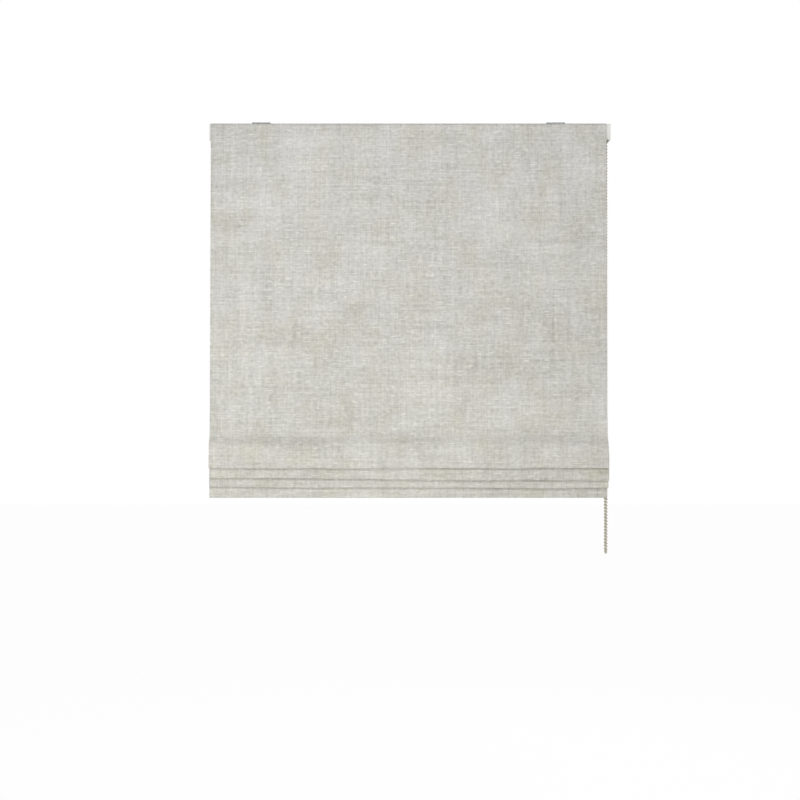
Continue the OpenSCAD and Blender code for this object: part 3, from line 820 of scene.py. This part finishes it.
# %% [markdown]
# A fine bevel softens the edges that a moulded or extruded piece would not have sharp. The solids come
# with their faces apart, so their corners are welded first, or the bevel would find no edge to round.

# %% Soft edges
SOFT_EDGES = {"headrail": 0.4, "end_cap": 0.5, "clutch_housing": 0.5, "clutch_cover": 0.6,
              "bracket_plate_left": 0.3, "bracket_plate_right": 0.3, "bracket_lever_left": 0.35,
              "bracket_lever_right": 0.35, "bottom_bar": 0.4, "bar_end_plugs": 0.5}
WELD_GAP, SHARP_ANGLE = 0.01, 40
for name, width in SOFT_EDGES.items():
    weld = nodes[name].modifiers.new("weld", "WELD")
    weld.merge_threshold = WELD_GAP * MM
    bevel = nodes[name].modifiers.new("soft_edge", "BEVEL")
    bevel.width = width * MM
    bevel.segments = 2
    bevel.limit_method = "ANGLE"
    bevel.angle_limit = np.radians(SHARP_ANGLE)
print("solids with soft edges:", len(SOFT_EDGES))

# %% [markdown]
# ## Floor and world
# The floor is far enough below for the blind to be let down. Floor and world look white from the
# camera. The floor keeps a small share of real shading, and the world lights the blind only faintly.

# %% Floor and world
FLOOR_Z, FLOOR_REACH, FLOOR_WHITE = -1.72, 14, 0.975
WORLD_LIGHT = 0.26
WHITE = (1, 1, 1, 1)


def seen_directly(tree):
    """1 for what the camera sees, also in gloss or through a clear piece, and 0 for light on its way."""
    ray = add(tree, "LightPath").outputs
    seen = maths(tree, "MAXIMUM", ray["Is Camera Ray"], ray["Is Glossy Ray"])
    return maths(tree, "MAXIMUM", seen, ray["Is Transmission Ray"])


def floor_finish():
    """Pale matt floor: mostly plain white where it is seen, with a share of real shading."""
    material, tree, shader = new_finish("pale_floor", Roughness=0.9, Base_Color=linear("#F2F2F0"))
    share = maths(tree, "MULTIPLY", seen_directly(tree), FLOOR_WHITE)
    glow = add(tree, "Emission", {"Color": WHITE, "Strength": 1.0})
    mixed = add(tree, "MixShader", {0: share, 1: shader.outputs[0], 2: glow.outputs[0]})
    tree.links.new(mixed.outputs[0], tree.nodes["Material Output"].inputs["Surface"])
    return material


edges = np.array([-FLOOR_REACH, FLOOR_REACH])
floor_points = np.stack(np.meshgrid(edges, edges) + [np.full((2, 2), FLOOR_Z)], -1)
floor = add_piece("floor", floor_points, grid_faces(2, 2), floor_finish())
world = bpy.data.worlds.new("studio")
bpy.context.scene.world = world
world.use_nodes = True
sky = world.node_tree
sky_level = rescaled(sky, seen_directly(sky), 0, 1, WORLD_LIGHT, 1.0)
sky.links.new(sky_level, sky.nodes["Background"].inputs["Strength"])
sky.nodes["Background"].inputs["Color"].default_value = WHITE

# %% [markdown]
# ## Light
# Four soft square lamps light the blind. One in front and below leaves the crease dark, because the
# cloth faces upwards there. One high in front puts a thin shadow under each fold. A weak one close by
# evens out the flat cloth, and a wide one lights the back.

# %% Lamps
def soft_lamp(name, place, target, size, power):
    """A square area lamp at a place, turned to shine at a target."""
    data = bpy.data.lights.new(name, "AREA")
    data.size, data.energy = size, power
    lamp = bpy.data.objects.new(name, data)
    x, y, z = np.array(target) - np.array(place)
    lamp.location = place
    lamp.rotation_euler = (np.arctan2(np.hypot(x, y), -z), 0, np.arctan2(-x, y))
    lamp.visible_camera = False
    bpy.context.scene.collection.objects.link(lamp)


soft_lamp("front_fill", (-0.25, -1.06, -0.33), (-0.25, -0.06, -0.33), 0.4, 1.85)
soft_lamp("low_key", (-0.3, -1.8, -1.6), (0, -0.06, -0.5), 0.8, 17.5)
soft_lamp("top_light", (0.3, -3.2, 2.3), (0, -0.06, -0.5), 0.6, 57)
soft_lamp("back", (0.8, 2.8, 0.6), (0, 0, -0.4), 1.6, 50)
bpy.context.scene.view_settings.view_transform = "Standard"
print("lamps:", len(bpy.data.lights))
